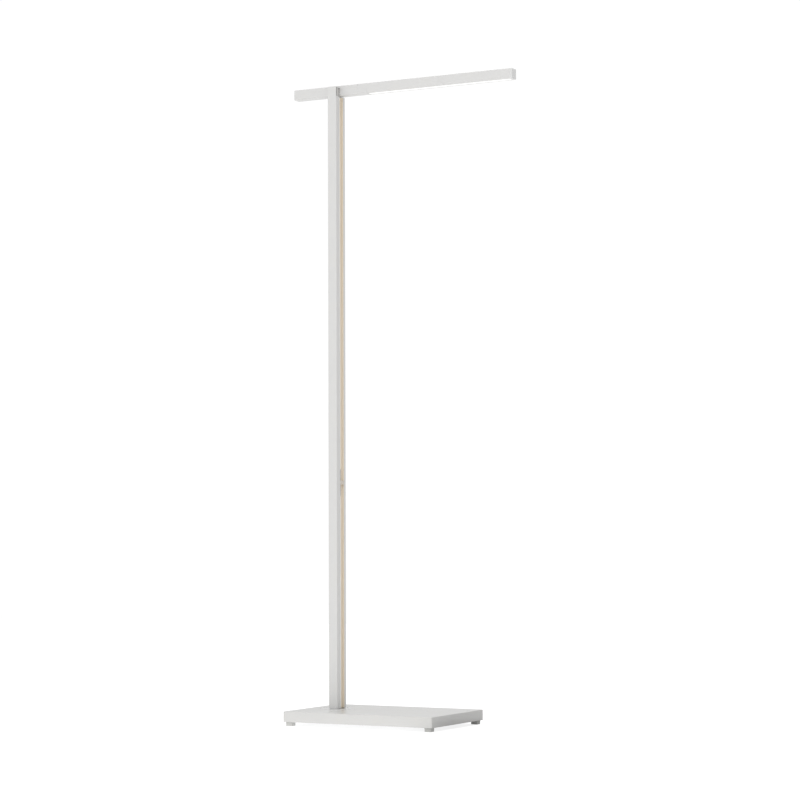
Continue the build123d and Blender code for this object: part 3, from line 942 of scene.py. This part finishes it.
# %% Emitters
def emitters():
    """A row of domed squares: rounded squares down the cup, and a shallow dome below."""
    low, high = limits("led_chips")
    count = 24
    columns = 24
    half = (high[1] - low[1]) / 2
    tall = high[2] - low[2]
    step = (high[0] - low[0] - 2 * half) / (count - 1)
    dome = 0.3 * mm
    cup = outline(half, half, 0.4 * mm, columns)
    rows = [level(cup, tall), level(cup, dome)]
    for share in (0.9, 0.6, 0.3):
        size = half * share
        rows.append(level(outline(size, size, size * 0.4, columns), dome * share**2))
    one = np.array(rows)
    meshes = []
    for index in range(count):
        origin = (low[0] + half + step * index, (low[1] + high[1]) / 2, low[2])
        meshes.append(grid_mesh(f"emitter_{index}", one + np.array(origin)))
        outward(meshes[-1])
    return merge(meshes, "emitter_row")


piece("emitter_row", emitters(), "arm", ["led_chips"], chip_finish, "chip_phosphor", 40)


# %% [markdown]
# ## Dimmer knob
# The knob is a small moulded slider in the stem's channel. Its face has fine finger ridges
# across the travel, and a stem behind it reaches the slide potentiometer. The face is a height
# function: a rounded rectangle whose height is a cosine of the distance along the travel, faded
# to nothing at the edges.

# %% Dimmer knob
def dimmer_knob():
    """Rows from the shank's end, out along the knob's side and over its ridged face."""
    low, high = limits("dimmer_slider")
    columns = 96
    half_y, half_z = (high[1] - low[1]) / 2, (high[2] - low[2]) / 2
    depth = high[0] - low[0]
    shank = 1.2 * mm
    knob_back = 4.82 * mm
    edge = 0.6 * mm
    back_edge = 0.15 * mm
    knob_corner = 1.0 * mm
    origin = (high[0], (low[1] + high[1]) / 2, (low[2] + high[2]) / 2)
    small = outline(shank, shank, 0.3 * mm, columns)

    def side(inset):
        """The knob's outline, moved in."""
        return outline(half_y - inset, half_z - inset, knob_corner, columns)

    rows = [level(small, -depth), level(small, -knob_back), level(side(back_edge), -knob_back)]
    rows.append(level(side(0), -knob_back + back_edge))
    rows += [level(side(inset), -edge + up) for inset, up in quarter(0, 0, edge, 6)]
    inner = side(edge)
    ridge = 0.22 * mm
    ridge_pitch = 1.1 * mm
    for share in np.linspace(0.95, 0.05, 30):
        flat = inner * share
        fade = np.clip((1 - share) * 6, 0, 1)
        wave = ridge * 0.5 * (np.cos(flat[:, 1] / ridge_pitch * 2 * math.pi) - 1) * fade
        rows.append(np.column_stack([flat, wave]))
    grid = place(np.array(rows), (0, 1, 0), (1, 0, 0), origin)
    return grid_mesh("dimmer_knob", grid)


piece("dimmer_knob", dimmer_knob(), "dimmer", ["dimmer_slider"], knob_plastic, "knob_plastic", 50)


# %% [markdown]
# ## Finishes for the pieces that stay as they are
# The long extrusions, the bracket, the leads, the plates and the hidden pieces have the right
# shape already. They only take a finish, in each of their material slots.

# %% Give finishes to the mechanical pieces
kept_finishes = {
    "stem_extrusion": paint_stem,
    "head_cap": paint_stem,
    "arm_carrier": paint_arm,
    "led_housing": paint_arm,
    "channel_trim": bright_trim,
    "channel_strip": bronze_strip,
    "hinge_bracket": lug_steel,
    "hinge_pin": ground_steel,
    "swivel_spindle": ground_steel,
    "pin_clip": zinc_plate,
    "spindle_nut": zinc_plate,
    "bottom_plate": zinc_plate,
    "friction_washer": bearing_bronze,
    "pivot_block": mill_aluminium,
    "splice_bar": mill_aluminium,
    "heat_spreader": mill_aluminium,
    "stem_foot_plug": foot_plug_aluminium,
    "base_weight": rolled_steel,
    "dimmer_pot": dark_plastic,
    "led_board": solder_mask,
    "base_lead": lead_sheath,
    "stem_lead": lead_sheath,
}
for node, finish in kept_finishes.items():
    thing = nodes[node]
    for index in range(max(len(thing.material_slots), 1)):
        if thing.material_slots:
            thing.material_slots[index].material = finish
        else:
            thing.data.materials.append(finish)
print(len(kept_finishes), "mechanical pieces finished,", len(finished), "new pieces")


# %% [markdown]
# ## Floor, light and camera
# A studio table: a pale floor that is lit from below, as a light table is, under an even white
# surround. Such a floor keeps shadows faint and lights the undersides of the arm. One large soft
# light stands high in front and a weak one hangs overhead. The surround and the floor are white
# to the eye, but the surround gives less light from the right, and so does the floor beside the
# foot, as if a dark cloth lay there. That lets the foot's right side fall off as it should.
# The camera has a long lens and looks slightly up, with its place given from the stem's foot.

# %% Floor
def floor_sheet():
    """A broad sheet, flat under the lamp, whose rim rises with the square of the distance."""
    half_size, flat_reach, rise = 4, 2.5, 0.001
    side = np.linspace(-half_size, half_size, 41)
    x, y = np.meshgrid(side, side)
    z = rise * np.clip(np.hypot(x, y) - flat_reach, 0, None) ** 2
    points = np.stack([x, y, z], axis=-1)
    rows, columns = x.shape
    index = np.arange(rows * columns).reshape(rows, columns)
    quads = np.stack([index[:-1, :-1], index[:-1, 1:], index[1:, 1:], index[1:, :-1]], axis=-1)
    mesh = bpy.data.meshes.new("floor")
    mesh.from_pydata(points.reshape(-1, 3).tolist(), [], quads.reshape(-1, 4).tolist())
    mesh.shade_smooth()
    return mesh


dull_radius, clear_radius = 0.165, 0.26


def duller_beside(made, spot, near, far):
    """Makes the glow of the floor weak around a spot, for every ray but the camera's own.

    The strength is a straight ramp of the distance from the spot, from near to far, and the
    camera's rays take the far value everywhere.
    """
    away = made.node("ShaderNodeVectorMath", operation="DISTANCE")
    away.inputs[1].default_value = spot
    made.join(made.coordinates.outputs["Object"], away.inputs[0])
    ramp = made.node("ShaderNodeMapRange")
    set_ramp(ramp, dull_radius, clear_radius, near, far)
    made.join(away.outputs["Value"], ramp.inputs["Value"])
    ray = made.node("ShaderNodeLightPath")
    choice = made.node("ShaderNodeMix")
    choice.inputs["B"].default_value = far
    made.join(ray.outputs["Is Camera Ray"], choice.inputs["Factor"])
    made.join(ramp.outputs["Result"], choice.inputs["A"])
    made.join(choice.outputs["Result"], made.shader.inputs["Emission Strength"])


paper = Finish("floor_paper")
right_of_foot = (base_high[0] + 0.16, 0.02, 0)
duller_beside(paper, right_of_foot, near=0.0, far=0.80)
paper.shader.inputs["Emission Color"].default_value = (1, 1, 1, 1)
paper.colours(paper.noise(0.6, 3), (0.3, (0.33, 0.33, 0.33)), (0.7, (0.36, 0.36, 0.36)))
paper.rough(paper.noise(0.02, 3), 0.75, 0.9)
floor_mesh = floor_sheet()
floor_mesh.materials.append(paper.material)
floor = bpy.data.objects.new("floor", floor_mesh)
bpy.context.scene.collection.objects.link(floor)


# %% Lights
def soft_light(name, place_at, aim, size, power):
    """A square area light that faces its aim."""
    lamp = bpy.data.lights.new(name, "AREA")
    lamp.size = size
    lamp.energy = power
    thing = bpy.data.objects.new(name, lamp)
    thing.location = place_at
    thing.rotation_euler = (Vector(aim) - Vector(place_at)).to_track_quat("-Z", "Y").to_euler()
    bpy.context.scene.collection.objects.link(thing)
    return thing


aim_at = (0.0, 0.0, 0.65)
soft_light("key", (0.4, -4.4, 2.8), aim_at, size=2.2, power=54)
soft_light("overhead", (0.2, 0.3, 3.4), (0.0, 0.0, 0.0), size=2.4, power=26)


# %% Surround
camera_white = 1.02
left_light, right_light = 0.74, 0.56
world = bpy.data.worlds.new("surround")
world.use_nodes = True
surround = world.node_tree.nodes["Background"]
surround.inputs["Color"].default_value = (1, 1, 1, 1)
seen = world.node_tree.nodes.new("ShaderNodeLightPath")
direction = world.node_tree.nodes.new("ShaderNodeTexCoord")
to_right = world.node_tree.nodes.new("ShaderNodeSeparateXYZ")
fall_off = world.node_tree.nodes.new("ShaderNodeMapRange")
set_ramp(fall_off, -0.1, 0.9, left_light, right_light)
brightness = world.node_tree.nodes.new("ShaderNodeMix")
brightness.inputs["B"].default_value = camera_white
world.node_tree.links.new(direction.outputs["Generated"], to_right.inputs["Vector"])
world.node_tree.links.new(to_right.outputs["X"], fall_off.inputs["Value"])
world.node_tree.links.new(seen.outputs["Is Camera Ray"], brightness.inputs["Factor"])
world.node_tree.links.new(fall_off.outputs["Result"], brightness.inputs["A"])
world.node_tree.links.new(brightness.outputs["Result"], surround.inputs["Strength"])
bpy.context.scene.world = world
bpy.context.scene.view_settings.view_transform = "Standard"


# %% Camera
# The angles are in radians, and the place is in metres from the stem's foot
yaw, pitch, roll = 0.5015, 0.051, -0.0036
from_stem = (2.46485, -4.22755, 0.4061)
ahead = Vector((-math.sin(yaw) * math.cos(pitch), math.cos(yaw) * math.cos(pitch), math.sin(pitch)))
level_right = Vector((math.cos(yaw), math.sin(yaw), 0))
level_up = level_right.cross(ahead)
right = math.cos(roll) * level_right + math.sin(roll) * level_up
above = -math.sin(roll) * level_right + math.cos(roll) * level_up
lens_data = bpy.data.cameras.new("camera")
lens_data.sensor_width = 36
lens_data.lens = 107.75
camera = bpy.data.objects.new("camera", lens_data)
turn = Matrix((right, above, -ahead)).transposed().to_4x4()
spot = Vector((stem_x + from_stem[0], stem_y + from_stem[1], from_stem[2]))
camera.matrix_world = Matrix.Translation(spot) @ turn
bpy.context.scene.collection.objects.link(camera)
bpy.context.scene.camera = camera
print("camera at", tuple(round(v, 3) for v in spot))
